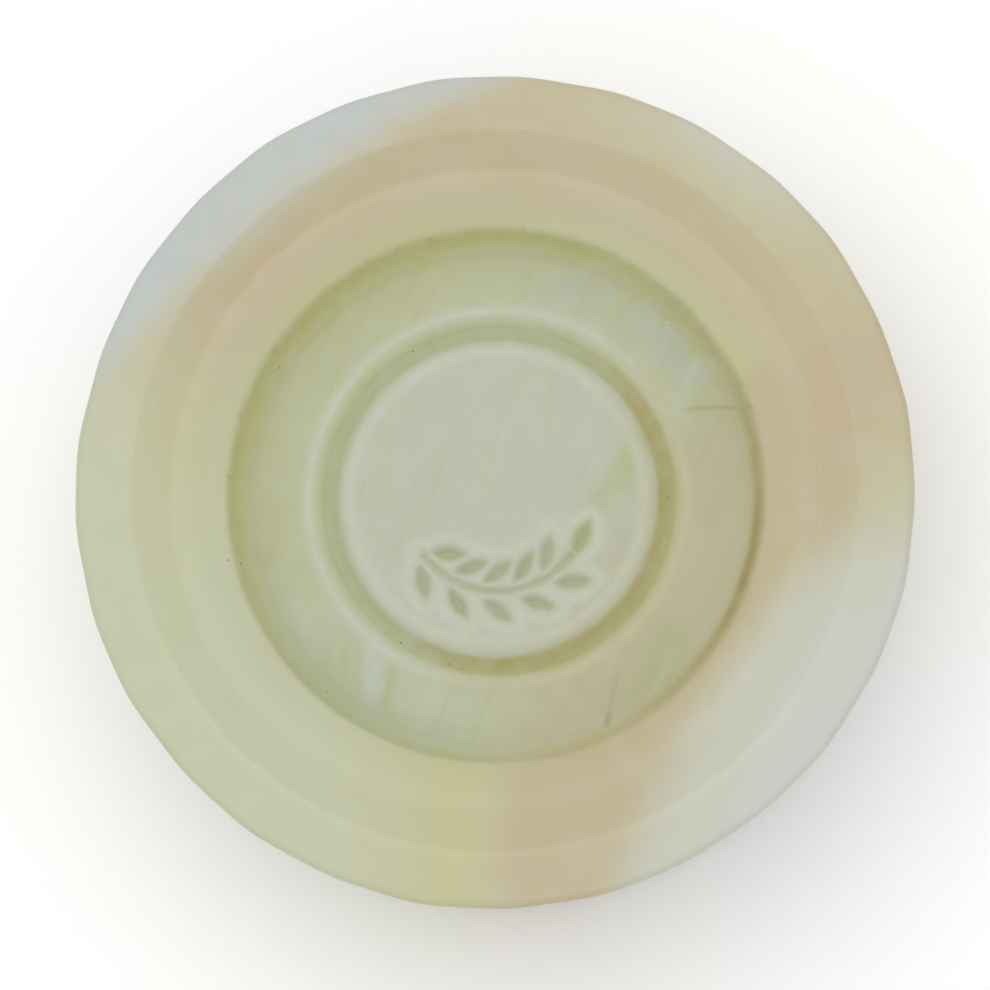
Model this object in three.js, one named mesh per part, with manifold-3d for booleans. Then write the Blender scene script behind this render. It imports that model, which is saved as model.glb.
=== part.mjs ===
// A marbled shaving soap puck: a round, dished block of soap, made of differently coloured pours
// that set against each other. Millimetres, +Z up, origin at the centre of the underside. +Y is
// the top of the stamped mark.
//
// Every pour runs straight down through the whole puck. The rim pours surround the dish, and the
// floor pours lie under its floor. Neighbouring pours keep a narrow knit gap at their side walls.

import * as THREE from "three";
import { mergeVertices } from "three/addons/utils/BufferGeometryUtils.js";
import Module from "manifold-3d";

const wasm = await Module();
wasm.setup();

// Overall sizes.
const RIM_RADIUS = 38; // at the top edge, the widest place
const HEIGHT = 27;
const SIDE_DRAFT = 2.8; // how much the radius shrinks from the top edge to the underside
const UNDERSIDE_BEVEL = 1.4;
const RIM_EDGE_BEVEL = 0.5;

// The dish, from the outside in. Each depth is measured from the surface outside it.
const OUTER_TERRACE_WIDTH = 5.2;
const STEP_WIDTH = 3.3;
const STEP_DEPTH = 1.8;
const INNER_TERRACE_WIDTH = 5.1;
const SHOULDER_DEPTH = 2.2; // the inner terrace rounds down by this towards the dish wall
const DISH_WALL_WIDTH = 1.5;
const DISH_WALL_DEPTH = 2.5;

// The stamped mark on the dish floor: a ring groove, and a leafy sprig inside it.
const RING_MARGIN = 6; // from the edge of the floor to the ring
const RING_TOP_WIDTH = 2.7;
const RING_FLOOR_WIDTH = 1.5;
const RING_DEPTH = 0.7;
const SPRIG_MARGIN = 5.7; // from the ring to the middle of the sprig's stem
const SPRIG_HALF_SPAN = 52; // degrees of arc, from the bottom of the mark to either end
const SPRIG_DEPTH = 0.6;
const STEM_WIDTH = 0.8;
const LEAF_PAIRS = 5;
const LEAF_LENGTH = 3.6;
const LEAF_WIDTH = 1.5;
const LEAF_LEAN = 38; // degrees between a leaf and the stem
const LEAF_STAND_OFF = 0.25; // from the stem's edge to the near tip of a leaf

// A rim swirl is a lens between the puck's edge and a curve that bows inwards by depth. A floor
// swirl is one between the floor pours' edge and such a curve. Angles are degrees from +X.
const RIM_LENSES = {
  upperLeftTan: { middle: 119, halfSpan: 51, depth: 9.5 },
  upperLeftWhite: { middle: 127, halfSpan: 38, depth: 5 },
  upperRightWhite: { middle: 53, halfSpan: 12, depth: 5 },
  lowerRightTan: { middle: -34, halfSpan: 57, depth: 17 },
  lowerRightWhite: { middle: -36, halfSpan: 36, depth: 11 },
};
const FLOOR_LENSES = {
  rightTan: { middle: -18, halfSpan: 40, depth: 5.2 },
  lowerLeftGrey: { middle: 232, halfSpan: 15, depth: 4.8 },
};

// Fits and facets.
const KNIT_GAP = 0.3; // between neighbouring pours
const CUT_MARGIN = 1; // how far a cutter runs past the surface that it cuts
const AROUND = 72; // facets round the puck
const LENS_STEPS = 20;
const LENS_OVERRUN = 0.1; // share of a lens's curve that runs on past each end
const LENS_STEP_SHARE = 0.01; // half the stretch over which the curve's direction is taken
const SHOULDER_STEPS = 4;
const ARC_STEPS = 4; // on each side of a leaf, and doubled on the stem

// Places worked out from the sizes above.
const STEP_OUTER_RADIUS = RIM_RADIUS - OUTER_TERRACE_WIDTH;
const STEP_INNER_RADIUS = STEP_OUTER_RADIUS - STEP_WIDTH;
const DISH_EDGE_RADIUS = STEP_INNER_RADIUS - INNER_TERRACE_WIDTH;
const FLOOR_RADIUS = DISH_EDGE_RADIUS - DISH_WALL_WIDTH;
const FLOOR_POUR_RADIUS = FLOOR_RADIUS - KNIT_GAP;
const INNER_TERRACE_Z = HEIGHT - STEP_DEPTH;
const DISH_EDGE_Z = INNER_TERRACE_Z - SHOULDER_DEPTH;
const FLOOR_Z = DISH_EDGE_Z - DISH_WALL_DEPTH;
const RING_RADIUS = FLOOR_RADIUS - RING_MARGIN - RING_TOP_WIDTH / 2;
const SPRIG_RADIUS = RING_RADIUS - RING_TOP_WIDTH / 2 - SPRIG_MARGIN;

const radians = THREE.MathUtils.degToRad;
const degrees = THREE.MathUtils.radToDeg;
const at = (x, y) => new THREE.Vector2(x, y);
const wallRadius = (z) => RIM_RADIUS - SIDE_DRAFT * (1 - z / HEIGHT);

// ---- Solids -------------------------------------------------------------------------------

function solidOf(geometry) {
  const bare = geometry.clone();
  bare.deleteAttribute("normal");
  bare.deleteAttribute("uv");
  const merged = mergeVertices(bare, 1e-4);
  const mesh = new wasm.Mesh({
    numProp: 3,
    vertProperties: new Float32Array(merged.attributes.position.array),
    triVerts: new Uint32Array(merged.index.array),
  });
  return new wasm.Manifold(mesh);
}

function geometryOf(solid) {
  const mesh = solid.getMesh();
  const geometry = new THREE.BufferGeometry();
  geometry.setAttribute("position", new THREE.BufferAttribute(mesh.vertProperties, 3));
  geometry.setIndex(new THREE.BufferAttribute(mesh.triVerts, 1));
  geometry.computeVertexNormals();
  return geometry;
}

// Turns a profile of (radius, height) points about the Z axis. The points run up the outside and
// back down the inside, and either end on the axis or close on themselves.
function turned(profile) {
  const geometry = new THREE.LatheGeometry(profile, AROUND);
  geometry.rotateX(Math.PI / 2);
  return solidOf(geometry);
}

// A prism standing on a flat outline, from one height to another.
function prism(shape, bottom, top) {
  const geometry = new THREE.ExtrudeGeometry(shape, {
    depth: top - bottom,
    bevelEnabled: false,
    curveSegments: ARC_STEPS,
  });
  geometry.translate(0, 0, bottom);
  return solidOf(geometry);
}

// ---- The rim and the floor before they are cut into pours ----------------------------------

// The inner terrace rounds over, from level to its steepest at the edge of the dish.
function shoulder() {
  const points = [];
  for (let i = 1; i <= SHOULDER_STEPS; i++) {
    const angle = (i / SHOULDER_STEPS) * (Math.PI / 2);
    const radius = STEP_INNER_RADIUS - INNER_TERRACE_WIDTH * Math.sin(angle);
    points.push(at(radius, DISH_EDGE_Z + SHOULDER_DEPTH * Math.cos(angle)));
  }
  return points;
}

function rimBlank() {
  const foot = at(FLOOR_RADIUS, 0);
  return turned([
    foot,
    at(wallRadius(0) - UNDERSIDE_BEVEL, 0),
    at(wallRadius(UNDERSIDE_BEVEL), UNDERSIDE_BEVEL),
    at(wallRadius(HEIGHT - RIM_EDGE_BEVEL), HEIGHT - RIM_EDGE_BEVEL),
    at(RIM_RADIUS - RIM_EDGE_BEVEL, HEIGHT),
    at(STEP_OUTER_RADIUS, HEIGHT),
    at(STEP_INNER_RADIUS, INNER_TERRACE_Z),
    ...shoulder(),
    at(FLOOR_RADIUS, FLOOR_Z),
    foot.clone(),
  ]);
}

function floorBlank() {
  const disc = turned([
    at(0, 0),
    at(FLOOR_POUR_RADIUS, 0),
    at(FLOOR_POUR_RADIUS, FLOOR_Z),
    at(0, FLOOR_Z),
  ]);
  return disc.subtract(ringCutter()).subtract(sprigCutter());
}

// The ring is a groove with sloping sides.
function ringCutter() {
  const slope = (RING_TOP_WIDTH - RING_FLOOR_WIDTH) / 2 / RING_DEPTH;
  const halfAbove = RING_TOP_WIDTH / 2 + slope * CUT_MARGIN;
  const corner = at(RING_RADIUS - RING_FLOOR_WIDTH / 2, FLOOR_Z - RING_DEPTH);
  return turned([
    corner,
    at(RING_RADIUS + RING_FLOOR_WIDTH / 2, FLOOR_Z - RING_DEPTH),
    at(RING_RADIUS + halfAbove, FLOOR_Z + CUT_MARGIN),
    at(RING_RADIUS - halfAbove, FLOOR_Z + CUT_MARGIN),
    corner.clone(),
  ]);
}

// A pointed leaf between two equal arcs, centred on the origin and lying along X.
function leafShape() {
  const half = LEAF_LENGTH / 2;
  const sagitta = LEAF_WIDTH / 2;
  const radius = (half * half + sagitta * sagitta) / (2 * sagitta);
  const reach = Math.asin(half / radius);
  const up = Math.PI / 2;
  const shape = new THREE.Shape();
  shape.absarc(0, sagitta - radius, radius, up - reach, up + reach, false);
  shape.absarc(0, radius - sagitta, radius, -up - reach, -up + reach, false);
  return shape;
}

// The sprig's stem is an arc under the centre of the ring.
function stemShape() {
  const start = radians(-90 - SPRIG_HALF_SPAN);
  const end = radians(-90 + SPRIG_HALF_SPAN);
  const shape = new THREE.Shape();
  shape.absarc(0, 0, SPRIG_RADIUS + STEM_WIDTH / 2, start, end, false);
  shape.absarc(0, 0, SPRIG_RADIUS - STEM_WIDTH / 2, end, start, true);
  return shape;
}

// The stem, its leaves in pairs leaning towards its far end, and one leaf to end it.
function sprigCutter() {
  const bottom = FLOOR_Z - SPRIG_DEPTH;
  const top = FLOOR_Z + CUT_MARGIN;
  const leaf = prism(leafShape(), bottom, top);
  let cutter = prism(stemShape(), bottom, top);
  const place = (radius, angle, turn) => {
    const matrix = new THREE.Matrix4().makeRotationZ(radians(turn));
    matrix.setPosition(radius * Math.cos(radians(angle)), radius * Math.sin(radians(angle)), 0);
    cutter = cutter.add(leaf.transform(matrix.elements));
  };
  const leafRise = (LEAF_LENGTH / 2) * Math.sin(radians(LEAF_LEAN));
  const outwards = STEM_WIDTH / 2 + LEAF_STAND_OFF + leafRise;
  for (let pair = 0; pair < LEAF_PAIRS; pair++) {
    const share = (pair + 0.5) / LEAF_PAIRS;
    const angle = -90 + SPRIG_HALF_SPAN * (2 * share - 1);
    const along = angle + 90;
    place(SPRIG_RADIUS + outwards, angle, along - LEAF_LEAN);
    place(SPRIG_RADIUS - outwards, angle, along + LEAF_LEAN);
  }
  const tip = -90 + SPRIG_HALF_SPAN + degrees(LEAF_LENGTH / 2 / SPRIG_RADIUS);
  place(SPRIG_RADIUS, tip, tip + 90);
  return cutter;
}

// ---- Pours --------------------------------------------------------------------------------

// The prism over a lens. grow widens it evenly, to cut the pour that lies beside it. The curve
// runs on a little past the edge at both ends, where an arc outside the puck closes it.
function lensPrism({ middle, halfSpan, depth }, edgeRadius, grow) {
  const curve = (share) => {
    const angle = radians(middle + halfSpan * share);
    const radius = edgeRadius - depth * Math.cos((share * Math.PI) / 2);
    return at(radius * Math.cos(angle), radius * Math.sin(angle));
  };
  const points = [];
  for (let i = 0; i <= LENS_STEPS; i++) {
    const share = (1 + LENS_OVERRUN) * ((2 * i) / LENS_STEPS - 1);
    const along = curve(share + LENS_STEP_SHARE).sub(curve(share - LENS_STEP_SHARE)).normalize();
    const inwards = at(-along.y, along.x);
    points.push(curve(share).addScaledVector(inwards, grow));
  }
  const [first, last] = [points[0], points[LENS_STEPS]];
  const shape = new THREE.Shape(points);
  shape.absarc(0, 0, first.length(), last.angle(), first.angle(), true);
  return prism(shape, -CUT_MARGIN, HEIGHT + CUT_MARGIN);
}

const rimLens = (name, grow = 0) => lensPrism(RIM_LENSES[name], RIM_RADIUS, grow);
const floorLens = (name, grow = 0) => lensPrism(FLOOR_LENSES[name], FLOOR_POUR_RADIUS, grow);

const COLOURS = {
  cream: 0xc9caa9,
  tan: 0xc6b391,
  white: 0xc6ccc9,
  sage: 0xb3b99b,
  grey: 0xb4bfb2,
};

function pour(name, colour, solid) {
  const material = new THREE.MeshStandardMaterial({
    color: COLOURS[colour],
    roughness: 0.45,
    metalness: 0,
  });
  const mesh = new THREE.Mesh(geometryOf(solid), material);
  mesh.name = name;
  return mesh;
}

function rimPours() {
  const blank = rimBlank();
  const cream = blank
    .subtract(rimLens("upperLeftTan", KNIT_GAP))
    .subtract(rimLens("upperRightWhite", KNIT_GAP))
    .subtract(rimLens("lowerRightTan", KNIT_GAP));
  const upperLeftTan = blank
    .intersect(rimLens("upperLeftTan"))
    .subtract(rimLens("upperLeftWhite", KNIT_GAP));
  const lowerRightTan = blank
    .intersect(rimLens("lowerRightTan"))
    .subtract(rimLens("lowerRightWhite", KNIT_GAP));
  return [
    pour("cream_rim_pour", "cream", cream),
    pour("tan_swirl_upper_left", "tan", upperLeftTan),
    pour("white_swirl_upper_left", "white", blank.intersect(rimLens("upperLeftWhite"))),
    pour("white_swirl_upper_right", "white", blank.intersect(rimLens("upperRightWhite"))),
    pour("tan_swirl_lower_right", "tan", lowerRightTan),
    pour("white_swirl_lower_right", "white", blank.intersect(rimLens("lowerRightWhite"))),
  ];
}

function floorPours() {
  const blank = floorBlank();
  const sage = blank
    .subtract(floorLens("rightTan", KNIT_GAP))
    .subtract(floorLens("lowerLeftGrey", KNIT_GAP));
  return [
    pour("sage_floor_pour", "sage", sage),
    pour("tan_floor_swirl", "tan", blank.intersect(floorLens("rightTan"))),
    pour("grey_floor_swirl", "grey", blank.intersect(floorLens("lowerLeftGrey"))),
  ];
}

const puck = new THREE.Group();
puck.name = "shaving_soap_puck";
puck.add(...rimPours(), ...floorPours());

export default puck;
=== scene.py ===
"""A marbled shaving soap puck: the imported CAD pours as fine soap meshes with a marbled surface.

One closed skin of the whole puck is made first, with its steps, dish, ring and sprig, and then
divided into the same pours as the CAD model, so that neighbouring pieces meet without a seam.
Lengths are in millimetres until a mesh is made, which turns them into metres.
"""
import math
from collections import Counter

import bmesh
import bpy
import numpy as np
from mathutils import Matrix, Vector


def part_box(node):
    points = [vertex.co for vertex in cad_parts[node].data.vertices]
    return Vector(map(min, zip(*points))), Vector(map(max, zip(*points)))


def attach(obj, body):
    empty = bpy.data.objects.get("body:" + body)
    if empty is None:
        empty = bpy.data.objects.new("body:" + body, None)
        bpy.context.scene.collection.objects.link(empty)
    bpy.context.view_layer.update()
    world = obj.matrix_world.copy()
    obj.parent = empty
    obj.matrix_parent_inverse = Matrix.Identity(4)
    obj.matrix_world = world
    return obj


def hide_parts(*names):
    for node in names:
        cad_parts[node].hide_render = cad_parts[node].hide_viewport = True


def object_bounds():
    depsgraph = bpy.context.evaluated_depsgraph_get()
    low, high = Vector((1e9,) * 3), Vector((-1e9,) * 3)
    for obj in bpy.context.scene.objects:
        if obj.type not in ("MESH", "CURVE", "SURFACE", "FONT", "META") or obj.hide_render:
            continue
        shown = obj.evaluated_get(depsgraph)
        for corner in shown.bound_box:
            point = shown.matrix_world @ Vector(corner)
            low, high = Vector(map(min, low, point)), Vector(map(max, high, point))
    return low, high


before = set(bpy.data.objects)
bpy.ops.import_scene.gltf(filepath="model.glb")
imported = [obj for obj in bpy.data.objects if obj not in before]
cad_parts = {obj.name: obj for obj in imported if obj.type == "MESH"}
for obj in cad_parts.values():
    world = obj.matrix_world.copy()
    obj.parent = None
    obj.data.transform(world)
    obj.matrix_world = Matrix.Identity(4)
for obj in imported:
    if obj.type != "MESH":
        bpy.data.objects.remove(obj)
cad_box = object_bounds()

MM = 0.001

# ---- Sizes --------------------------------------------------------------------------------

RIM_RADIUS = (cad_box[1][1] - cad_box[0][1]) / 2 / MM
HEIGHT = cad_box[1][2] / MM
FLOOR_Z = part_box("sage_floor_pour")[1][2] / MM
SIDE_DRAFT = 2.8
SIDE_PULL = 0.3  # the most that the edge pulls in, because it isn't quite round
EDGE_ROUND = 0.6
UNDERSIDE_ROUND = 1.8

# The dish, from the outside in.
OUTER_TERRACE_WIDTH = 5.2
STEP_WIDTH = 3.3
STEP_DEPTH = 1.8
STEP_LIP = 0.05  # how far the inner terrace's edge stands above the foot of the step
STEP_LIP_WIDTH = 0.8
INNER_TERRACE_WIDTH = 5.1
DISH_WALL_WIDTH = 1.5
SHOULDER_DEPTH = 2.2
STEP_OUTER = RIM_RADIUS - OUTER_TERRACE_WIDTH
STEP_INNER = STEP_OUTER - STEP_WIDTH
DISH_EDGE = STEP_INNER - INNER_TERRACE_WIDTH
FLOOR_RADIUS = DISH_EDGE - DISH_WALL_WIDTH
SHOULDER_POWER = 2.4
COVE_WIDTH = 2.6  # the dish wall is steep at its edge and runs out into the floor over this
COVE_POWER = 2.2
EDGE_SOFTNESS = 0.16
TORN_SIDE = 48  # degrees from +X: here the stamp tore the dish's edge
WAVE_HEIGHT = 0.05
GRAIN_HEIGHT = 0.012

# The stamped mark.
RING_MARGIN = 6.0
RING_TOP_WIDTH = 2.7
RING_DEPTH = 0.7
RING_RADIUS = FLOOR_RADIUS - RING_MARGIN - RING_TOP_WIDTH / 2
SPRIG_MARGIN = 5.7
SPRIG_RADIUS = RING_RADIUS - RING_TOP_WIDTH / 2 - SPRIG_MARGIN
SPRIG_HALF_SPAN = 52
SPRIG_DEPTH = 0.6
SPRIG_WALL = 0.65
STEM_WIDTH = 0.8
LEAF_PAIRS = 5
LEAF_LENGTH = 3.6
LEAF_WIDTH = 1.5
LEAF_LEAN = 38
LEAF_STAND_OFF = 0.25
LIP_HEIGHT = 0.07  # soap pushed up around the mark
LIP_OFFSET = 0.75
OUTER_LIP_OFFSET = 0.35
LIP_WIDTH = 0.6

# The pours: a lens between a round edge and a curve that bows inwards, as (its middle and half
# its span in degrees from +X, how deep it bows).
RIM_LENSES = {
    "upper_left_tan": (119, 51, 9.5),
    "upper_left_white": (127, 38, 5),
    "upper_right_white": (53, 12, 5),
    "lower_right_tan": (-34, 57, 17),
    "lower_right_white": (-36, 36, 11),
}
FLOOR_LENSES = {
    "right_tan": (-18, 40, 5.2),
    "lower_left_grey": (232, 15, 4.8),
}
CUT_MARGIN = 3.0
SLIVER = 0.006  # shorter edges than this, left by cutting, are closed up

# ---- Helpers ------------------------------------------------------------------------------


def ramp(value, start, end):
    """Goes smoothly from 0 at start to 1 at end."""
    share = np.clip((value - start) / (end - start), 0, 1)
    return share * share * (3 - 2 * share)


def bell(value, centre, width):
    """A smooth bump that is 1 at centre and falls off over width."""
    return np.exp(-(((value - centre) / width) ** 2))


def wobble(x, y, size, seed):
    """Smooth noise from -1 to 1, with lumps about size millimetres across."""
    cells = 64
    grid = np.random.default_rng(seed).uniform(-1, 1, (cells, cells))
    u, v = x / size + seed, y / size + cells / 2
    i, j = np.floor(u).astype(int), np.floor(v).astype(int)
    fu, fv = u - i, v - j
    fu, fv = fu * fu * (3 - 2 * fu), fv * fv * (3 - 2 * fv)
    i0, i1, j0, j1 = i % cells, (i + 1) % cells, j % cells, (j + 1) % cells
    low = grid[i0, j0] * (1 - fu) + grid[i1, j0] * fu
    high = grid[i0, j1] * (1 - fu) + grid[i1, j1] * fu
    return low * (1 - fv) + high * fv


def fractal(x, y, size, seed, octaves=3):
    """Noise with finer lumps on coarser ones."""
    total = sum(wobble(x, y, size / 2**k, seed + k) / 2**k for k in range(octaves))
    return total / (2 - 2 ** (1 - octaves))


def angle_gap(angle, centre):
    """Degrees between two directions, from -180 to 180."""
    return (angle - centre + 180) % 360 - 180


def towards(angle, centre):
    """1 where a direction is centre, and down to -1 opposite it."""
    return np.cos(np.radians(angle_gap(angle, centre)))


# ---- The shape of the top -----------------------------------------------------------------


def dish_height(radius):
    """Height of the steps and the dish, before the mark is stamped."""
    spacing, reach = 0.02, 0.6
    fine = np.arange(0, RIM_RADIUS + 1, spacing)
    z = np.full_like(fine, HEIGHT)
    z -= (STEP_DEPTH + STEP_LIP) * np.clip((STEP_OUTER - fine) / STEP_WIDTH, 0, 1)
    z += STEP_LIP * np.clip((STEP_INNER - fine) / STEP_LIP_WIDTH, 0, 1)
    inwards = np.clip((STEP_INNER - fine) / INNER_TERRACE_WIDTH, 0, 1)
    z -= SHOULDER_DEPTH * inwards**SHOULDER_POWER
    wall_depth = HEIGHT - STEP_DEPTH - SHOULDER_DEPTH - FLOOR_Z
    down_wall = np.clip((DISH_EDGE - fine) / COVE_WIDTH, 0, 1)
    z -= wall_depth * (1 - (1 - down_wall) ** COVE_POWER)
    kernel = bell(np.arange(-reach, reach + spacing / 2, spacing), 0, EDGE_SOFTNESS)
    padded = np.pad(z, len(kernel) // 2, mode="edge")
    return np.interp(radius, fine, np.convolve(padded, kernel / kernel.sum(), mode="valid"))


def ring_distance(x, y):
    """Distance outside the ring groove's edge, negative inside it."""
    return np.abs(np.hypot(x, y) - RING_RADIUS) - RING_TOP_WIDTH / 2


def leaf_distance(x, y, radius, angle, turn):
    """Distance outside a leaf that stands at a polar place and is turned."""
    half, sagitta = LEAF_LENGTH / 2, LEAF_WIDTH / 2
    arc = (half**2 + sagitta**2) / (2 * sagitta)
    angle, turn = math.radians(angle), math.radians(turn)
    dx, dy = x - radius * math.cos(angle), y - radius * math.sin(angle)
    u = dx * math.cos(turn) + dy * math.sin(turn)
    v = -dx * math.sin(turn) + dy * math.cos(turn)
    return np.maximum(np.hypot(u, v - arc + sagitta), np.hypot(u, v + arc - sagitta)) - arc


def sprig_distance(x, y):
    """Distance outside the sprig: a stem on an arc, leaves in pairs, and one at its end."""
    end = math.radians(SPRIG_HALF_SPAN)
    along = np.clip(np.arctan2(x, -y), -end, end)
    stem_x, stem_y = SPRIG_RADIUS * np.sin(along), -SPRIG_RADIUS * np.cos(along)
    nearest = np.hypot(x - stem_x, y - stem_y) - STEM_WIDTH / 2
    rise = LEAF_LENGTH / 2 * math.sin(math.radians(LEAF_LEAN))
    outwards = STEM_WIDTH / 2 + LEAF_STAND_OFF + rise
    for pair in range(LEAF_PAIRS):
        angle = -90 + SPRIG_HALF_SPAN * (2 * (pair + 0.5) / LEAF_PAIRS - 1)
        for side in (1, -1):
            place = SPRIG_RADIUS + side * outwards
            leaf = leaf_distance(x, y, place, angle, angle + 90 - side * LEAF_LEAN)
            nearest = np.minimum(nearest, leaf)
    tip = -90 + SPRIG_HALF_SPAN + math.degrees(LEAF_LENGTH / 2 / SPRIG_RADIUS)
    return np.minimum(nearest, leaf_distance(x, y, SPRIG_RADIUS, tip, tip + 90))


def stamp(x, y):
    """How deep the mark is pressed at a point, 0 to 1 for the ring and for the sprig."""
    ring = 1 - ramp(ring_distance(x, y), -RING_TOP_WIDTH / 2, 0.15)
    sprig = 1 - ramp(sprig_distance(x, y), -SPRIG_WALL, 0.12)
    return ring, sprig


def lip(x, y):
    """The raised rim of soap beside the mark, 0 to 1."""
    nearest = np.minimum(ring_distance(x, y), sprig_distance(x, y))
    outside_ring = ramp(np.hypot(x, y), RING_RADIUS - 0.3, RING_RADIUS + 0.3)
    offset = LIP_OFFSET + (OUTER_LIP_OFFSET - LIP_OFFSET) * outside_ring
    return bell(nearest, offset, LIP_WIDTH) * ramp(nearest, -0.6, 0)


def top_height(x, y):
    """Height of the soap's upper surface."""
    radius = np.hypot(x, y)
    angle = np.degrees(np.arctan2(y, x))
    # The stamp tore the dish's edge a little, mostly on one side.
    torn = 0.25 + 0.75 * bell(angle_gap(angle, TORN_SIDE), 0, 32)
    edge_shift = torn * (0.45 * fractal(x, y, 3.0, 5) + 0.12 * wobble(x, y, 0.7, 9))
    near_edge = bell(radius, DISH_EDGE - 0.3, 1.6)
    z = dish_height(radius + edge_shift * near_edge)
    z = z + WAVE_HEIGHT * fractal(x, y, 7.0, 21) + GRAIN_HEIGHT * fractal(x, y, 1.1, 31)
    ring, sprig = stamp(x, y)
    z = z - RING_DEPTH * ring - SPRIG_DEPTH * sprig * (1 - ring)
    return np.minimum(z + LIP_HEIGHT * lip(x, y), HEIGHT)


# ---- The skin -----------------------------------------------------------------------------

AROUND = 640  # points in a row at the rim, halved again and again towards the centre
HALVED_ABOVE = 30  # rows with fewer points than this aren't halved
TOP_SPACING = 0.07  # points of a row on the top aren't closer than this
UNDERSIDE_SPACING = 0.3
FIRST_ROW = 0.4
LAST_ROW = 0.5
EDGE_ROW_GAP = 0.1  # between rows beside the edges of the steps and the dish
DISH_ROW_GAP = 0.16
RIM_ROW_GAP = 0.26
UNDERSIDE_ROW_GAP = 0.7
BESIDE_EDGE = 0.7  # how near an edge a row takes the small gap
EDGE_ROUND_ROWS = 6
SIDE_ROWS = 30
UNDERSIDE_ROUND_ROWS = 7


def points_around(radius, spacing):
    """How many points a row has, halved until they stand spacing apart."""
    around = AROUND
    while around > HALVED_ABOVE and radius * 2 * math.pi / around < spacing:
        around //= 2
    return around


def skin_rows():
    """Rows of the skin from the top's centre, over the edge and down to the underside's
    centre: (radius, height or None where the top decides it, points around)."""
    rows = []
    top_end = RIM_RADIUS - EDGE_ROUND
    radius = FIRST_ROW
    while radius < top_end:
        rows.append((radius, None, points_around(radius, TOP_SPACING)))
        nearest = min(abs(radius - edge) for edge in (DISH_EDGE, STEP_INNER, STEP_OUTER))
        if nearest < BESIDE_EDGE:
            radius += EDGE_ROW_GAP
        else:
            radius += DISH_ROW_GAP if radius < DISH_EDGE else RIM_ROW_GAP
    for k in range(EDGE_ROUND_ROWS + 1):
        turn = math.radians(90 * k / EDGE_ROUND_ROWS)
        height = HEIGHT - EDGE_ROUND * (1 - math.cos(turn))
        rows.append((top_end + EDGE_ROUND * math.sin(turn), height, AROUND))
    for z in np.linspace(HEIGHT - EDGE_ROUND, UNDERSIDE_ROUND, SIDE_ROWS)[1:]:
        rows.append((RIM_RADIUS - SIDE_DRAFT * (1 - z / HEIGHT), z, AROUND))
    foot = rows[-1][0]
    for k in range(1, UNDERSIDE_ROUND_ROWS + 1):
        turn = math.radians(90 * k / UNDERSIDE_ROUND_ROWS)
        height = UNDERSIDE_ROUND * (1 - math.sin(turn))
        rows.append((foot - UNDERSIDE_ROUND * (1 - math.cos(turn)), height, AROUND))
    radius = rows[-1][0] - UNDERSIDE_ROW_GAP
    while radius > LAST_ROW:
        rows.append((radius, 0.0, points_around(radius, UNDERSIDE_SPACING)))
        radius -= UNDERSIDE_ROW_GAP
    return rows


def side_wobble(x, y, z):
    """How far the edge pulls in at a point, by three waves round it."""
    angle = np.arctan2(y, x)
    wave = 0.4 * np.sin(5 * angle + 0.7) + 0.3 * np.sin(13 * angle + 2.1)
    wave = wave + 0.3 * np.sin(29 * angle + z * 0.2)
    return SIDE_PULL * (wave + 1) / 2


def build_skin():
    """The closed outer surface of the whole puck, as one mesh."""
    points, faces, starts = [(0, 0, None)], [], []
    rows = skin_rows()
    for radius, z, around in rows:
        starts.append((len(points), around))
        for k in range(around):
            turn = 2 * math.pi * k / around
            points.append((radius * math.cos(turn), radius * math.sin(turn), z))
    last = len(points)
    points.append((0, 0, 0.0))
    first, around = starts[0]
    faces += [(0, first + k, first + (k + 1) % around) for k in range(around)]
    for (a, na), (b, nb) in zip(starts, starts[1:]):
        if na == nb:
            faces += [(a + k, b + k, b + (k + 1) % nb, a + (k + 1) % na) for k in range(na)]
        elif nb == 2 * na:
            for k in range(na):
                faces.append((a + k, b + 2 * k, b + 2 * k + 1))
                faces.append((a + k, b + 2 * k + 1, a + (k + 1) % na))
                faces.append((a + (k + 1) % na, b + 2 * k + 1, b + (2 * k + 2) % nb))
        else:
            for k in range(nb):
                faces.append((b + k, a + (2 * k + 1) % na, a + 2 * k))
                faces.append((b + k, b + (k + 1) % nb, a + (2 * k + 1) % na))
                faces.append((b + (k + 1) % nb, a + (2 * k + 2) % na, a + (2 * k + 1) % na))
    a, na = starts[-1]
    faces += [(last, a + (k + 1) % na, a + k) for k in range(na)]
    x = np.array([p[0] for p in points])
    y = np.array([p[1] for p in points])
    is_top = np.array([p[2] is None for p in points])
    z = np.array([0.0 if p[2] is None else p[2] for p in points])
    z[is_top] = top_height(x[is_top], y[is_top])
    radius = np.maximum(np.hypot(x, y), 1e-6)
    pull = side_wobble(x, y, z) * ramp(radius, STEP_OUTER + 1, RIM_RADIUS - EDGE_ROUND)
    x, y = x * (1 - pull / radius), y * (1 - pull / radius)
    return new_mesh_object("skin", np.stack([x, y, z], axis=1), faces)


def new_mesh_object(name, points, faces):
    """A mesh object from points in millimetres."""
    mesh = bpy.data.meshes.new(name)
    mesh.from_pydata((np.asarray(points) * MM).tolist(), [], faces)
    mesh.update()
    mesh.polygons.foreach_set("use_smooth", np.ones(len(mesh.polygons), dtype=bool))
    obj = bpy.data.objects.new(name, mesh)
    bpy.context.scene.collection.objects.link(obj)
    return obj


# ---- Cutting the skin into pours ------------------------------------------------------------


def prism(name, outline):
    """A tall prism over a flat outline that runs anticlockwise."""
    count = len(outline)
    low = [(x, y, -CUT_MARGIN) for x, y in outline]
    high = [(x, y, HEIGHT + CUT_MARGIN) for x, y in outline]
    faces = [tuple(reversed(range(count))), tuple(range(count, 2 * count))]
    faces += [(k, (k + 1) % count, count + (k + 1) % count, count + k) for k in range(count)]
    return new_mesh_object(name, low + high, faces)


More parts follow.
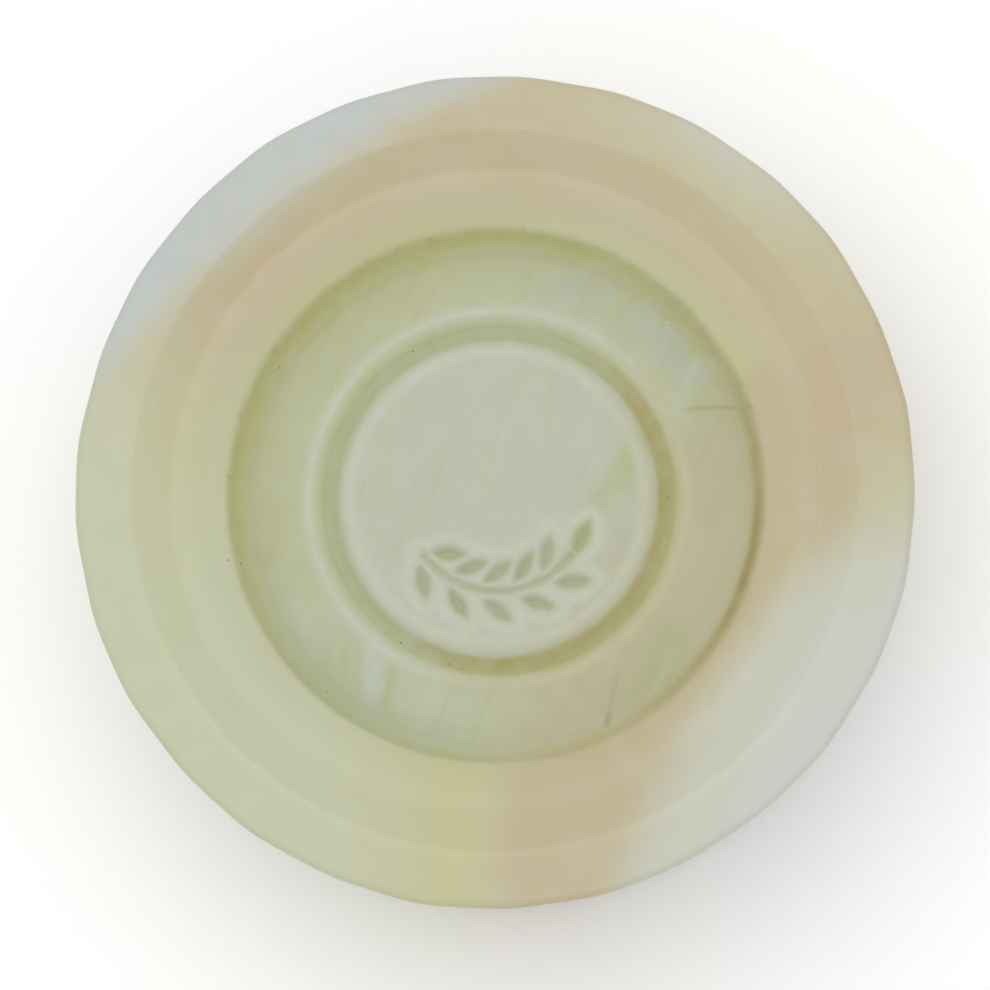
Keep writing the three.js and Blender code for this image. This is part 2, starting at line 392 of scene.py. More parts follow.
def lens_prism(name, lens, edge_radius, steps=120, overrun=0.1):
    """The prism over a lens between a round edge and a curve that bows inwards."""
    middle, half_span, depth = lens
    share = (1 + overrun) * np.linspace(-1, 1, steps + 1)
    angle = np.radians(middle + half_span * share)
    radius = edge_radius - depth * np.cos(share * math.pi / 2)
    inner = list(zip(radius * np.cos(angle), radius * np.sin(angle)))
    outside = np.linspace(angle[0], angle[-1], steps)[1:-1]
    reach = max(radius[0], edge_radius + CUT_MARGIN)
    outer = [(reach * math.cos(a), reach * math.sin(a)) for a in outside]
    return prism(name, outer + inner[::-1])


def disc_prism(name, radius, steps=360):
    """The prism over a disc round the puck's middle."""
    turns = (np.arange(steps) + 0.5) / steps * 2 * math.pi
    return prism(name, [(radius * math.cos(t), radius * math.sin(t)) for t in turns])


def cut(obj, cutter, operation, name):
    """A copy of obj, cut by or to the cutter."""
    piece = obj.copy()
    piece.data = obj.data.copy()
    piece.name = name
    bpy.context.scene.collection.objects.link(piece)
    boolean = piece.modifiers.new("cut", "BOOLEAN")
    boolean.operation = operation
    boolean.solver = "MANIFOLD"
    boolean.object = cutter
    graph = bpy.context.evaluated_depsgraph_get()
    mesh = bpy.data.meshes.new_from_object(piece.evaluated_get(graph))
    piece.modifiers.clear()
    piece.data = mesh
    mesh.name = name
    return piece


def close_slivers(mesh):
    """Closes up what cutting leaves beside a seam: edges far shorter than the mesh's own, and
    triangles of the skin that the wall covers exactly. The faces become triangles here, so that
    none of the edges this adds is added twice."""
    edit = bmesh.new()
    edit.from_mesh(mesh)
    bmesh.ops.dissolve_degenerate(edit, dist=SLIVER * MM, edges=edit.edges)
    bmesh.ops.triangulate(edit, faces=edit.faces)
    copies = Counter(frozenset(face.verts) for face in edit.faces)
    flaps = [face for face in edit.faces if copies[frozenset(face.verts)] > 1]
    bmesh.ops.delete(edit, geom=flaps, context="FACES")
    edit.to_mesh(mesh)
    edit.free()


# ---- Marbling, painted shade and painted light --------------------------------------------

# Curves that bound the colours, as (centre x, centre y, radius).
WHITE_UPPER_LEFT = (33.6, -42.3, 85.7)
WHITE_LOWER_RIGHT = (76.9, -55.8, 68.0)
TAN_LOWER_RIGHT = (56.3, -34.2, 56.0)

# Soft streaks on the dish floor, as (strength, start, end, width).
GREEN_STREAKS = (
    (0.75, (5.5, -6.0), (12.5, 5.0), 1.2),
    (0.9, (10.5, 0.0), (13.2, 6.5), 1.3),
    (0.6, (-20.5, -7), (-19.5, 1), 2.0),
    (0.8, (12.2, -19), (15.8, -11), 1.2),
    (0.7, (15.0, -17.5), (17.6, -12.5), 0.9),
)
FINE_GREEN_STREAKS = tuple((0.6, (x + 0.5, -13), (x - 0.3, -21), 0.45) for x in (-14.2, -13.0, -9.9))
GREEN_BY_THE_TEAR = ((0.9, (5.2, 23.2), (8.2, 21.8), 1.0),)
BARE_STREAKS = (
    (1.0, (4.6, 19.6), (10.8, 18.6), 1.7),
    (1.0, (14.0, 16.0), (18.8, 9.8), 1.8),
    (0.6, (9.5, 18.6), (15.0, 15.0), 2.4),
)
PALE_STREAKS = (
    (0.6, (-11.1, -12.4), (-12.1, -20.6), 1.0),
    (0.42, (-18.8, -8.6), (-17.4, -15.0), 1.4),
)
DASH = (
    (0.6, (9.8, -21.0), (10.1, -19.4), 0.26),
    (0.3, (10.1, -19.2), (10.9, -15.6), 0.17),
)

# Directions in degrees from +X.
# The side where the painted shade in the dish's corner is strongest, as the wall there faces away
# from the lamp.
CORNER_SHADE_SIDE = 136  # where the dish's corner is darkest
WARM_SIDE = -30  # where the soap under the mark is tan
CRUMBLED_SIDE = 120
PITTED_SIDE = 190
BAND_TURN = 63  # the way the floor's broad band runs
SHRED_TURN = 62


def outside(x, y, circle):
    """Distance outside a circle, negative within it."""
    return np.hypot(x - circle[0], y - circle[1]) - circle[2]


def turned(x, y, degrees):
    """Coordinates along and across a direction."""
    turn = math.radians(degrees)
    return x * math.cos(turn) + y * math.sin(turn), y * math.cos(turn) - x * math.sin(turn)


def streak(x, y, start, end, width):
    """A soft line between two points, 1 along it."""
    ax, ay, bx, by = *start, *end
    length = math.hypot(bx - ax, by - ay)
    ux, uy = (bx - ax) / length, (by - ay) / length
    along = (x - ax) * ux + (y - ay) * uy
    off = (x - ax) * -uy + (y - ay) * ux
    begun = bell(off, 0, width) * ramp(along, -0.15 * length, 0.2 * length)
    return begun * (1 - ramp(along, 0.8 * length, 1.15 * length))


def strongest(x, y, streaks):
    """The strongest of several streaks at each point."""
    return np.maximum.reduce([share * streak(x, y, *places) for share, *places in streaks])


def steepness(x, y):
    """Slope of the top in degrees."""
    reach = 0.08
    east = top_height(x + reach, y) - top_height(x - reach, y)
    north = top_height(x, y + reach) - top_height(x, y - reach)
    return np.degrees(np.arctan(np.hypot(east, north) / (2 * reach)))


def rim_masks(x, y, radius, angle):
    """The white, the tan and the yellow soap of the rim."""
    upper_left = outside(x, y, WHITE_UPPER_LEFT)
    white_left = ramp(upper_left, -1.2, 3.8)
    lower_right = -outside(x, y, WHITE_LOWER_RIGHT)
    white_right = 0.7 * ramp(lower_right, -3.6, 2.6) + 0.3 * ramp(lower_right, 2, 9)
    white_right = white_right * (1 - 0.7 * ramp(angle_gap(angle, -8), -8, 10))
    pale = 0.5 * bell(angle_gap(angle, 54), 0, 15) * ramp(radius, 33, 37.5)
    white = np.maximum(np.maximum(white_left, white_right), pale)

    ahead = angle_gap(angle, 75)
    tan_top = ramp(ahead, -92, -62) * (1 - ramp(ahead, 64, 104))
    tan_top = tan_top * (1 - 0.45 * bell(ahead, -20, 17) * ramp(radius, 31.5, 34.5))
    tan_top = tan_top * (1 - 0.3 * bell(ahead, -40, 32))
    tan_top = tan_top * (0.3 + 0.7 * ramp(radius, 24.6, 29.0)) * (1 - white_left)
    tan_side = -outside(x, y, TAN_LOWER_RIGHT)
    tan_right = ramp(tan_side, -3.2, 2.6) * (1 - white_right)
    notch = 0.55 * bell(angle_gap(angle, -1), 0, 9) * ramp(radius, 31, 34)
    tan = np.maximum(tan_top, tan_right) * (1 - notch)
    yellow = np.maximum(bell(tan_side, -4, 7), bell(ahead, -45, 38)) * (1 - white)
    yellow = np.maximum(yellow, 0.8 * bell(angle_gap(angle, 168), 0, 22) * bell(radius, 29, 3.5))
    yellow = np.maximum(yellow, bell(angle_gap(angle, 110), 0, 55) * bell(radius, DISH_EDGE, 2.8))
    cool = ramp(upper_left, -6, 0)
    return {"white": white, "cool": cool, "tan": tan, "yellow": yellow, "floor_tan": tan_right}


def floor_masks(x, y, wx, wy, radius, angle, tan):
    """The grey, the green, the slate and the pale soap of the dish floor."""
    across = turned(wx, wy, BAND_TURN)[1]
    band = bell(across + 2.0 * fractal(x, y, 6.0, 71), 0, 8.0)
    inside_ring = 1 - ramp(radius, RING_RADIUS - 1.6, RING_RADIUS + 0.4)
    grey = np.maximum(0.45 * band, 0.92 * inside_ring) * (1 - 0.55 * tan)

    # Where the stamp tore the darker skin, slate soap shows between the shreds.
    torn = bell(angle_gap(angle, TORN_SIDE), 0, 27) * ramp(radius, 18.0, 20.0)
    rx = x + 0.9 * fractal(x, y, 2.6, 81, 4)
    ry = y + 0.9 * fractal(x, y, 2.6, 91, 4)
    drawn_x, drawn_y = turned(x, y, SHRED_TURN)
    shreds = 0.55 * fractal(drawn_x / 1.8, drawn_y, 2.0, 83, 4)
    bare = ramp(strongest(rx, ry, BARE_STREAKS) + shreds, 0.15, 0.75)
    patches = torn * (1 - bare)
    slate = ramp(torn, 0.05, 0.4) * bare

    green = np.maximum(strongest(wx, wy, GREEN_STREAKS), 0.75 * patches)
    green = np.maximum(green, strongest(rx, ry, GREEN_BY_THE_TEAR))
    green = np.maximum(green, strongest(x, y, FINE_GREEN_STREAKS))
    pale = strongest(x, y, PALE_STREAKS)
    return {"grey": grey, "green": green, "slate": slate, "pale": pale}


def painted_light_masks(x, y, radius, angle):
    """Painted light: shade in the dish's corner, strongest where the wall faces away from the lamp;
    shade in the mark's groove; a greener shade at the wall's foot on the lower left; and a glow on
    the raised lip beside the mark.
    """
    # Painted shade in the ring groove and in the sprig.
    ring = ramp(radius, RING_RADIUS - 1.35, RING_RADIUS - 0.7)
    ring = ring * (1 - ramp(radius, RING_RADIUS + 0.3, RING_RADIUS + 1.05))
    sprig = ramp(-sprig_distance(x, y), -0.1, 0.5)
    mark_shade = np.maximum(ring, 0.8 * sprig)
    # Painted shade in the dish's corner. It reaches further out and is darker where the wall faces
    # away from the lamp.
    facing = 0.5 + 0.5 * towards(angle, CORNER_SHADE_SIDE)
    fade = 0.5 + 1.9 * facing
    corner_shade = np.exp(-np.clip(DISH_EDGE - 0.7 - radius, 0, None) / fade)
    corner_shade = corner_shade * (1 - ramp(radius, DISH_EDGE - 0.55, DISH_EDGE + 0.2 + 0.45 * facing))
    corner_shade = corner_shade * (0.6 + 0.35 * facing**1.5)
    # A greener painted shade along the foot of the dish wall on the lower left.
    wall_foot_shade = 0.75 * bell(angle_gap(angle, -128), 0, 30) * ramp(radius, 20.2, 22.6)
    wall_foot_shade = wall_foot_shade * (1 - ramp(radius, DISH_EDGE - 0.5, DISH_EDGE + 0.4))
    warm = ramp(towards(angle, WARM_SIDE), -0.15, 0.55)
    warm = warm * ramp(radius, RING_RADIUS - 3, RING_RADIUS - 1)
    corner_shade = corner_shade * (1 - mark_shade)
    # halo is a painted glow on the raised lip beside the mark.
    return {"corner_shade": corner_shade, "mark_shade": mark_shade, "warm": warm, "wall_foot_shade": wall_foot_shade, "halo": lip(x, y)}


def fine_masks(x, y, radius, angle):
    """A hair, a dash and a dark brown line along the dish wall on the right, and where the pinholes
    are.
    """
    arc = 8.2 - 0.03 * (x - 19.6) ** 2
    hair = 0.45 * bell(y, arc, 0.17) * ramp(x, 15.5, 18) * (1 - ramp(x, 22.6, 23.6))
    line = bell(radius, DISH_EDGE - 0.8, 0.48) * bell(angle_gap(angle, -14), 0, 32)
    line = line * (0.9 + 0.35 * fractal(x, y, 1.6, 15))
    dash = strongest(x, y, DASH)
    crumbs = ramp(fractal(x, y, 0.9, 17, 2), 0.25, 0.5) * bell(radius, DISH_EDGE - 0.1, 0.3)
    crumbs = 0.3 * crumbs * ramp(towards(angle, CRUMBLED_SIDE), -0.3, 0.6)
    near_edge = bell(radius, DISH_EDGE - 0.2, 0.8) * ramp(towards(angle, PITTED_SIDE), -0.2, 0.7)
    pinholes = np.maximum(near_edge, 0.7 * bell(radius, RING_RADIUS, 1.2))
    return {"brown": np.maximum.reduce([hair, line, dash, crumbs]), "pinholes": pinholes}


def marbling(x, y, z):
    """How much of each colour the soap has at each point, and of the painted shade and light, as
    named values from 0 to 1.
    """
    on_top = ramp(z - top_height(x, y), -0.9, -0.3)
    below = (1 - on_top) * (HEIGHT - z)
    # The pours wander a little on their way down the puck.
    x = x + below * (0.12 + 0.1 * wobble(y, z, 9.0, 3))
    y = y + below * (0.08 + 0.1 * wobble(x, z, 9.0, 4))
    radius, angle = np.hypot(x, y), np.degrees(np.arctan2(y, x))
    wx = x + 0.9 * fractal(x, y, 9.0, 41)
    wy = y + 0.9 * fractal(x, y, 9.0, 47)

    masks = rim_masks(wx, wy, radius, angle)
    dish_edge = DISH_EDGE + 0.3 * fractal(x, y, 2.5, 5)
    floor = (1 - ramp(radius, dish_edge - 0.3, dish_edge + 0.3)) * on_top
    under = (1 - ramp(radius + 9 * fractal(x, y, 14.0, 61), 14, 22)) * (1 - on_top)
    masks["floor"] = np.maximum(floor, 0.6 * under)
    # Painted light: steep faces and the ring groove's walls are brightened, less on the lower side
    # by the dish's edge, and the step's edges get painted highlights where they face the light.
    high = np.sin(np.radians(angle))
    edges = bell(radius, STEP_OUTER + 0.35, 0.4) * ramp(-high, 0, 0.8)
    edges = np.maximum(edges, bell(radius, STEP_INNER - 0.4, 0.45) * ramp(high, 0, 0.8))
    shaded = 1 - 0.35 * ramp(-high, -0.2, 0.7) * ramp(radius, DISH_EDGE - 0.6, DISH_EDGE)
    slope = steepness(x, y)
    walls = ramp(slope, 6, 32) * bell(radius, RING_RADIUS, 1.5)
    masks["glow"] = (ramp(slope, 16, 68) * shaded + 0.3 * walls + 0.16 * edges) * on_top
    surface = floor_masks(x, y, wx, wy, radius, angle, masks["floor_tan"])
    for key, values in surface.items():
        masks[key] = values * floor
    shade_and_marks = painted_light_masks(x, y, radius, angle) | fine_masks(x, y, radius, angle)
    for key, values in shade_and_marks.items():
        masks[key] = values * on_top
    return masks


# ---- Materials ----------------------------------------------------------------------------

# Soap colours as they look under the studio's light, as display values.
COLOURS = {
    "cream": (197, 200, 171),
    "yellow": (196, 194, 150),
    "tan": (195, 180, 148),
    "white": (204, 207, 200),
    "cool_white": (191, 196, 195),
    "sage": (185, 189, 154),
    "floor_tan": (185, 179, 146),
    "grey": (186, 192, 175),
    "green": (175, 179, 133),
    "slate": (181, 186, 164),
    "pale": (193, 202, 194),
    # olive and khaki paint shade in the dish's corner; olive also tints the floor's fine streaks.
    "olive": (176, 174, 117),
    "khaki": (178, 170, 128),
    # moss paints a greener shade at the foot of the dish wall.
    "moss": (173, 180, 148),
    # The mark colours paint shade in the groove of the stamped mark.
    "mark_shade_olive": (172, 177, 138),
    "mark_shade_khaki": (169, 163, 107),
    # The halo colours paint a glow on the raised lip beside the mark; halo also tints the faint
    # clouds.
    "halo": (195, 200, 180),
    "lip_glow_khaki": (191, 188, 153),
    "brown": (156, 142, 96),
    "pinhole": (110, 108, 76),
    "speck": (214, 217, 200),
    "streak": (178, 190, 172),
}
# The light takes a white floor to full white, so the soap itself is darker than it looks.
SOAP_LEVEL = 0.86
GLOW = (1.2, 1.2, 1.17, 1.0)  # how much brighter the soap is where light soaks through it
DOT_SPACING = 1.1
DOT_RADIUS = 0.09
PINHOLE_SHARE = 0.08  # of the dots where the stamp pressed, those that are pinholes
SPECK_SHARE = 0.0012
ROUGHNESS = (0.36, 0.5)
BUMP_HEIGHT = 0.05
MASKS = (
    "white", "cool", "tan", "yellow", "floor", "floor_tan", "grey", "green", "slate", "pale",
    "glow", "corner_shade", "mark_shade", "warm", "wall_foot_shade", "halo", "brown", "pinholes",
)


def linear(name):
    """A named soap colour as Blender's linear red, green, blue and alpha."""
    shares = np.array(COLOURS[name]) / 255
    low, high = shares / 12.92, ((shares + 0.055) / 1.055) ** 2.4
    return (*(SOAP_LEVEL * np.where(shares <= 0.04045, low, high)), 1.0)


class Nodes:
    """Adds nodes to one material, with short calls for the kinds that the soap needs."""

    def __init__(self, name):
        self.material = bpy.data.materials.new(name)
        self.material.use_nodes = True
        self.tree = self.material.node_tree
        self.shader = self.tree.nodes["Principled BSDF"]

    def add(self, kind, **settings):
        node = self.tree.nodes.new(kind)
        for key, value in settings.items():
            setattr(node, key, value)
        return node

    def link(self, source, target):
        self.tree.links.new(source, target)

    def feed(self, socket, value):
        """Links an output to a socket, or sets the socket to a number or colour."""
        if isinstance(value, bpy.types.NodeSocket):
            self.link(value, socket)
        else:
            socket.default_value = value

    def mask(self, name):
        return self.add("ShaderNodeAttribute", attribute_name=name).outputs["Fac"]

    def mix(self, factor, first, second, blend="MIX"):
        """Mixes two colours, each an output or a colour."""
        node = self.add("ShaderNodeMix", data_type="RGBA", blend_type=blend)
        for place, value in ((0, factor), (6, first), (7, second)):
            self.feed(node.inputs[place], value)
        return node.outputs[2]

    def math(self, operation, first, second):
        node = self.add("ShaderNodeMath", operation=operation)
        self.feed(node.inputs[0], first)
        self.feed(node.inputs[1], second)
        return node.outputs[0]

    def spread(self, value, low, high, new_low, new_high):
        """Maps low..high to new_low..new_high, and stays there beyond."""
        node = self.add("ShaderNodeMapRange", interpolation_type="SMOOTHSTEP")
        self.link(value, node.inputs["Value"])
        for socket, number in zip(node.inputs[1:5], (low, high, new_low, new_high)):
            socket.default_value = number
        return node.outputs["Result"]

    def drawn_out(self, turn, stretch):
        """Coordinates that draw a texture out along a direction, in degrees."""
        mapping = self.add("ShaderNodeMapping", vector_type="TEXTURE")
        mapping.inputs["Rotation"].default_value = (0, 0, math.radians(turn))
        mapping.inputs["Scale"].default_value = (stretch, 1, 1)
        self.link(self.add("ShaderNodeTexCoord").outputs["Object"], mapping.inputs["Vector"])
        return mapping.outputs["Vector"]

    def noise(self, size, turn=0.0, stretch=1.0, detail=3.0, warp=0.0):
        """Noise with lumps of a size in millimetres."""
        noise = self.add("ShaderNodeTexNoise")
        noise.inputs["Scale"].default_value = 1 / (size * MM)
        noise.inputs["Detail"].default_value = detail
        noise.inputs["Distortion"].default_value = warp
        self.link(self.drawn_out(turn, stretch), noise.inputs["Vector"])
        return noise.outputs["Fac"]

    def dots(self, spacing, radius):
        """Scattered round dots, in millimetres: 1 on a dot, and a random number for each."""
        cells = self.add("ShaderNodeTexVoronoi", voronoi_dimensions="2D")
        cells.inputs["Scale"].default_value = 1 / (spacing * MM)
        self.link(self.add("ShaderNodeTexCoord").outputs["Object"], cells.inputs["Vector"])
        chance = self.add("ShaderNodeSeparateColor")
        self.link(cells.outputs["Color"], chance.inputs["Color"])
        inner, outer = 0.6 * radius / spacing, 1.4 * radius / spacing
        on_dot = self.spread(cells.outputs["Distance"], inner, outer, 1.0, 0.0)
        return on_dot, chance.outputs["Red"]


def base_colour(n, mask):
    """The colours of the pours, in the rim and in the dish floor."""
    rim = n.mix(mask["yellow"], linear("cream"), linear("yellow"))
    rim = n.mix(mask["tan"], rim, linear("tan"))
    white = n.mix(mask["cool"], linear("white"), linear("cool_white"))
    rim = n.mix(mask["white"], rim, white)
    floor = n.mix(mask["floor_tan"], linear("sage"), linear("floor_tan"))
    for key in ("grey", "slate", "green", "pale"):
        floor = n.mix(mask[key], floor, linear(key))
    return n.mix(mask["floor"], rim, floor)


def add_streaks(n, mask, colour):
    """Broad, faint clouds everywhere, and fine streaks drawn out along the floor."""
    cloud = n.spread(n.noise(7.0, turn=60, stretch=2.2, warp=0.6), 0.3, 0.7, 0.0, 0.16)
    colour = n.mix(cloud, colour, linear("yellow"))
    cloud = n.spread(n.noise(5.0, turn=-35, stretch=3.0, warp=0.8), 0.42, 0.7, 0.0, 0.16)
    colour = n.mix(cloud, colour, linear("halo"))
    for size, turn, strength, key, name in (
        (1.1, 68, 0.25, "floor", "olive"),
        (0.7, 72, 0.6, "grey", "streak"),
        (2.2, 64, 0.3, "floor", "halo"),
    ):
        lines = n.noise(size, turn=turn, stretch=9.0, detail=5.0, warp=0.3)
        streaks = n.spread(lines, 0.56, 0.72, 0.0, strength)
        colour = n.mix(n.math("MULTIPLY", streaks, mask[key]), colour, linear(name))
    return colour


def add_painted_light_and_marks(n, mask, colour):
    """Paints shade in the dish's corner, in the mark and at the wall's foot, and a glow on the lip
    beside the mark, then adds the brown marks.
    """
    # Painted shade in the dish's corner and in the mark, and a painted glow on the lip beside the
    # mark.
    for key, cool, warm in (
        ("corner_shade", "olive", "khaki"),
        ("mark_shade", "mark_shade_olive", "mark_shade_khaki"),
        ("halo", "halo", "lip_glow_khaki"),
    ):
        shade = n.mix(mask["warm"], linear(cool), linear(warm))
        blotches = n.spread(n.noise(1.8, detail=2.0), 0.3, 0.7, 0.7, 1.0)
        colour = n.mix(n.math("MULTIPLY", mask[key], blotches), colour, shade)
    # Greener painted shade at the foot of the dish wall.
    colour = n.mix(mask["wall_foot_shade"], colour, linear("moss"))
    return n.mix(mask["brown"], colour, linear("brown"))


def add_pinholes(n, mask, colour):
    """A few dark pinholes, most of them where the stamp pressed, and fewer light specks."""
    on_dot, chance = n.dots(DOT_SPACING, DOT_RADIUS)
    likely = n.math("ADD", chance, n.math("MULTIPLY", mask["pinholes"], PINHOLE_SHARE))
    dark = n.math("MULTIPLY", on_dot, n.math("GREATER_THAN", likely, 1.0))
    light = n.math("MULTIPLY", on_dot, n.math("LESS_THAN", chance, SPECK_SHARE))
    colour = n.mix(n.math("MULTIPLY", dark, 0.8), colour, linear("pinhole"))
    return n.mix(n.math("MULTIPLY", light, 0.6), colour, linear("speck"))


def soap_material(name):
    """Marbled soap: the colours follow the masks, and noise draws the fine streaks."""
    n = Nodes(name)
    mask = {key: n.mask(key) for key in MASKS}
    colour = base_colour(n, mask)
    colour = add_streaks(n, mask, colour)
    colour = add_painted_light_and_marks(n, mask, colour)
    colour = add_pinholes(n, mask, colour)
    # Light that soaks through the soap brightens its steep faces.
    lit = n.mix(1.0, colour, GLOW, "MULTIPLY")
    n.link(n.mix(mask["glow"], colour, lit), n.shader.inputs["Base Color"])

    rough = n.spread(n.noise(2.5, detail=4.0), 0.3, 0.7, *ROUGHNESS)
    n.link(rough, n.shader.inputs["Roughness"])
    n.shader.inputs["IOR"].default_value = 1.46
    n.shader.inputs["Specular IOR Level"].default_value = 0.4

    bump = n.add("ShaderNodeBump")
    bump.inputs["Strength"].default_value = 0.25
    bump.inputs["Distance"].default_value = BUMP_HEIGHT * MM
    n.link(n.noise(0.8, detail=6.0), bump.inputs["Height"])
    n.link(bump.outputs["Normal"], n.shader.inputs["Normal"])
    return n.material


# ---- Pieces -------------------------------------------------------------------------------


def keep_skin_normals(mesh):
    """Stores the skin's smooth normals on its corners, for the pieces to keep once cut."""
    corner_points = np.zeros(len(mesh.loops), dtype=np.int32)
    mesh.loops.foreach_get("vertex_index", corner_points)
    normals = np.zeros(len(mesh.vertices) * 3, dtype=np.float32)
    mesh.vertices.foreach_get("normal", normals)
    stored = mesh.attributes.new("skin_normal", "FLOAT_VECTOR", "CORNER")
    stored.data.foreach_set("vector", normals.reshape(-1, 3)[corner_points].ravel())
    is_skin = mesh.attributes.new("is_skin", "INT", "FACE")
    is_skin.data.foreach_set("value", np.ones(len(mesh.polygons), dtype=np.int32))


def finish_piece(piece, node, material):
    """Gives a cut pour its normals, masks and material, attaches it to the root body and hides the
    CAD node it stands for.
    """
    mesh = piece.data
    close_slivers(mesh)
    is_skin = np.zeros(len(mesh.polygons), dtype=np.int32)
    mesh.attributes["is_skin"].data.foreach_get("value", is_skin)
    mesh.polygons.foreach_set("use_smooth", is_skin.astype(bool))
    normals = np.zeros(len(mesh.loops) * 3, dtype=np.float32)
    mesh.attributes["skin_normal"].data.foreach_get("vector", normals)
    normals = normals.reshape(-1, 3)
    counts = np.zeros(len(mesh.polygons), dtype=np.int32)
    mesh.polygons.foreach_get("loop_total", counts)
    normals[np.repeat(is_skin, counts) == 0] = 0
    length = np.maximum(np.linalg.norm(normals, axis=1, keepdims=True), 1e-9)
    mesh.normals_split_custom_set((normals / length).tolist())
    mesh.attributes.remove(mesh.attributes["skin_normal"])
    mesh.attributes.remove(mesh.attributes["is_skin"])

    places = np.zeros(len(mesh.vertices) * 3, dtype=np.float32)
    mesh.vertices.foreach_get("co", places)
    x, y, z = (places.reshape(-1, 3) / MM).T.astype(float)
    for key, values in marbling(x, y, z).items():
        attribute = mesh.attributes.new(key, "FLOAT", "POINT")
        attribute.data.foreach_set("value", np.clip(values, 0, 1).astype(np.float32))
    mesh.materials.clear()
    mesh.materials.append(material)
    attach(piece, "root")
    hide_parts(node)


# Each piece, with what it is cut from, the lens it is cut to, the lenses cut out of it, the CAD
# node it stands for and its material slot.
POURS = (
    ("rim_cream", "rim", None, ("upper_left_tan", "upper_right_white", "lower_right_tan"),
     "cream_rim_pour", "soap_cream"),
    ("rim_tan_upper_left", "rim", "upper_left_tan", ("upper_left_white",),
     "tan_swirl_upper_left", "soap_tan"),
    ("rim_white_upper_left", "rim", "upper_left_white", (),
     "white_swirl_upper_left", "soap_white"),
    ("rim_white_upper_right", "rim", "upper_right_white", (),
     "white_swirl_upper_right", "soap_white"),
    ("rim_tan_lower_right", "rim", "lower_right_tan", ("lower_right_white",),
     "tan_swirl_lower_right", "soap_tan"),
    ("rim_white_lower_right", "rim", "lower_right_white", (),
     "white_swirl_lower_right", "soap_white"),
    ("floor_sage", "floor", None, ("right_tan", "lower_left_grey"),
     "sage_floor_pour", "soap_sage"),
    ("floor_tan", "floor", "right_tan", (),
     "tan_floor_swirl", "soap_tan"),
    ("floor_grey", "floor", "lower_left_grey", (),
     "grey_floor_swirl", "soap_grey"),
)
DISC_MARGIN = 0.05  # the cut between rim and floor stands this far outside the floor


def make_pours():
    """Divides the skin into the CAD model's pours: first the floor from the rim, then each."""
    skin = build_skin()
    keep_skin_normals(skin.data)
    disc = disc_prism("disc", FLOOR_RADIUS + DISC_MARGIN)
    blanks = {
        "floor": cut(skin, disc, "INTERSECT", "floor_blank"),
        "rim": cut(skin, disc, "DIFFERENCE", "rim_blank"),
    }
    lenses = {key: lens_prism(key, value, RIM_RADIUS) for key, value in RIM_LENSES.items()}
    lenses |= {key: lens_prism(key, value, FLOOR_RADIUS) for key, value in FLOOR_LENSES.items()}
    scraps = [skin, disc, *blanks.values(), *lenses.values()]

    pieces = []
    for name, blank, kept, cut_out, _, _ in POURS:
        piece = blanks[blank]
        steps = [(kept, "INTERSECT")] if kept else []
        steps += [(key, "DIFFERENCE") for key in cut_out]
        for key, operation in steps:
            piece = cut(piece, lenses[key], operation, name)
            scraps.append(piece)
        scraps.remove(piece)
        pieces.append(piece)
    for scrap in scraps:
        bpy.data.objects.remove(scrap)
    materials = {slot: soap_material(slot) for slot in dict.fromkeys(row[-1] for row in POURS)}
    for piece, (name, _, _, _, node, slot) in zip(pieces, POURS):
        piece.name = piece.data.name = name
        finish_piece(piece, node, materials[slot])


# ---- Stage --------------------------------------------------------------------------------

FRAME_WIDTH = 89.03  # what the picture's width covers at the height of the rim
AIM_X, AIM_Y = 0.05, -0.54
CAMERA_DISTANCE = 900
CAMERA_TILT = 8.2  # degrees off the vertical
CAMERA_SIDE = -70  # degrees from +X: below the mark and a little right
CAMERA_CLIP = (0.01, 10)
LAMP_PLACE = (-60, 100, 415)
LAMP_SIZE = 340
LAMP_POWER = 0.38
SKY_STRENGTH = 0.93
GROUND_REACH = 900
GROUND_WHITE = 0.97


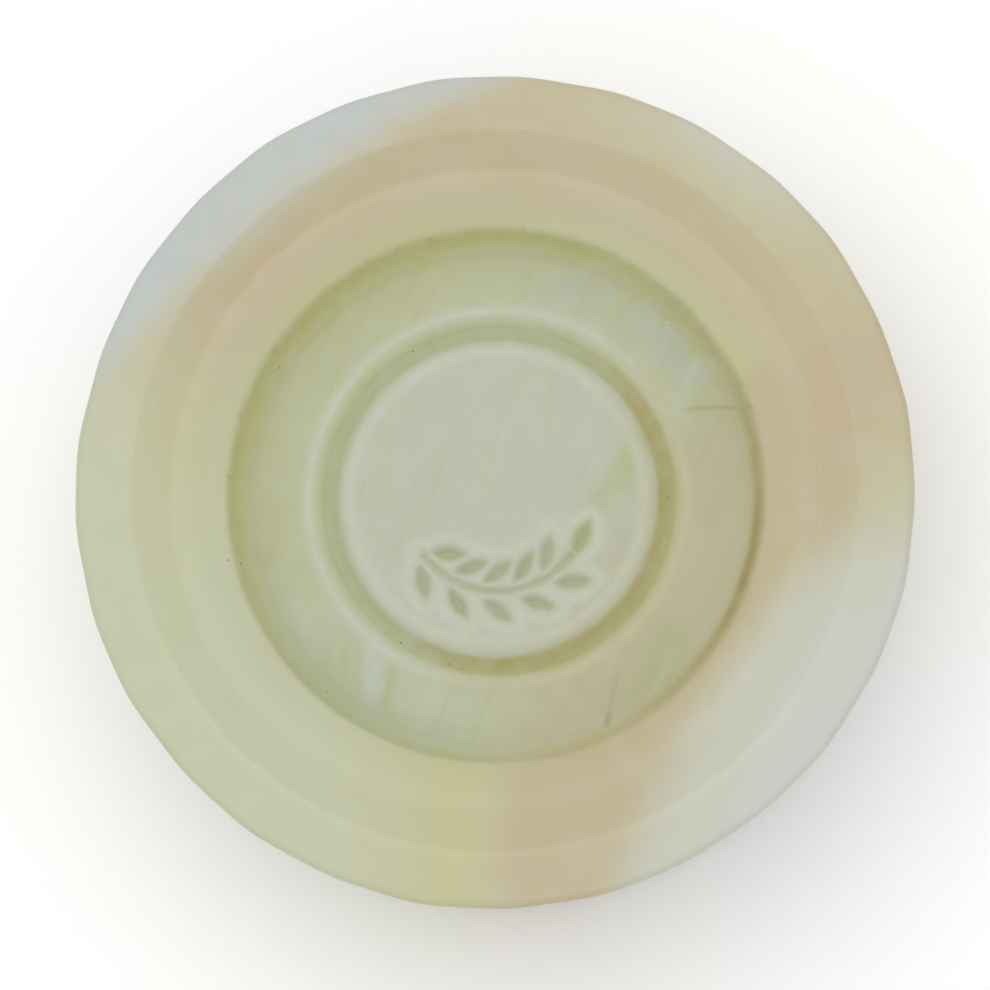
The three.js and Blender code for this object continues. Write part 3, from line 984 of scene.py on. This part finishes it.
def make_floor():
    reach = GROUND_REACH
    corners = [(-reach, -reach, 0), (reach, -reach, 0), (reach, reach, 0), (-reach, reach, 0)]
    floor = new_mesh_object("studio_floor", corners, [(0, 1, 2, 3)])
    n = Nodes("studio_floor")
    n.shader.inputs["Base Color"].default_value = (GROUND_WHITE, GROUND_WHITE, GROUND_WHITE, 1)
    n.shader.inputs["Roughness"].default_value = 0.9
    floor.data.materials.append(n.material)


def make_lights():
    """An even white sky, and one wide soft lamp above the upper left."""
    world = bpy.data.worlds.new("studio")
    bpy.context.scene.world = world
    world.use_nodes = True
    sky = world.node_tree.nodes["Background"]
    sky.inputs["Color"].default_value = (1, 1, 1, 1)
    sky.inputs["Strength"].default_value = SKY_STRENGTH
    lamp = bpy.data.lights.new("overhead", "AREA")
    lamp.shape = "DISK"
    lamp.size = LAMP_SIZE * MM
    lamp.energy = LAMP_POWER
    obj = bpy.data.objects.new("overhead", lamp)
    bpy.context.scene.collection.objects.link(obj)
    obj.location = Vector(LAMP_PLACE) * MM
    obj.rotation_euler = (-obj.location).to_track_quat("-Z", "Y").to_euler()


def make_camera():
    """Looks down on the rim from far off, a little off the vertical."""
    tilt, side = math.radians(CAMERA_TILT), math.radians(CAMERA_SIDE)
    across = math.sin(tilt)
    offset = Vector((across * math.cos(side), across * math.sin(side), math.cos(tilt)))
    aim = Vector((AIM_X, AIM_Y, HEIGHT))
    data = bpy.data.cameras.new("camera")
    data.angle = 2 * math.atan(FRAME_WIDTH / 2 / CAMERA_DISTANCE)
    data.clip_start, data.clip_end = CAMERA_CLIP
    camera = bpy.data.objects.new("camera", data)
    bpy.context.scene.collection.objects.link(camera)
    camera.location = (aim + offset * CAMERA_DISTANCE) * MM
    back = offset.normalized()
    right = Vector((0, 1, 0)).cross(back).normalized()
    up = back.cross(right)
    camera.rotation_euler = Matrix((right, up, back)).transposed().to_euler()
    bpy.context.scene.camera = camera


bpy.context.scene.view_settings.view_transform = "Standard"
make_pours()
make_floor()
make_lights()
make_camera()
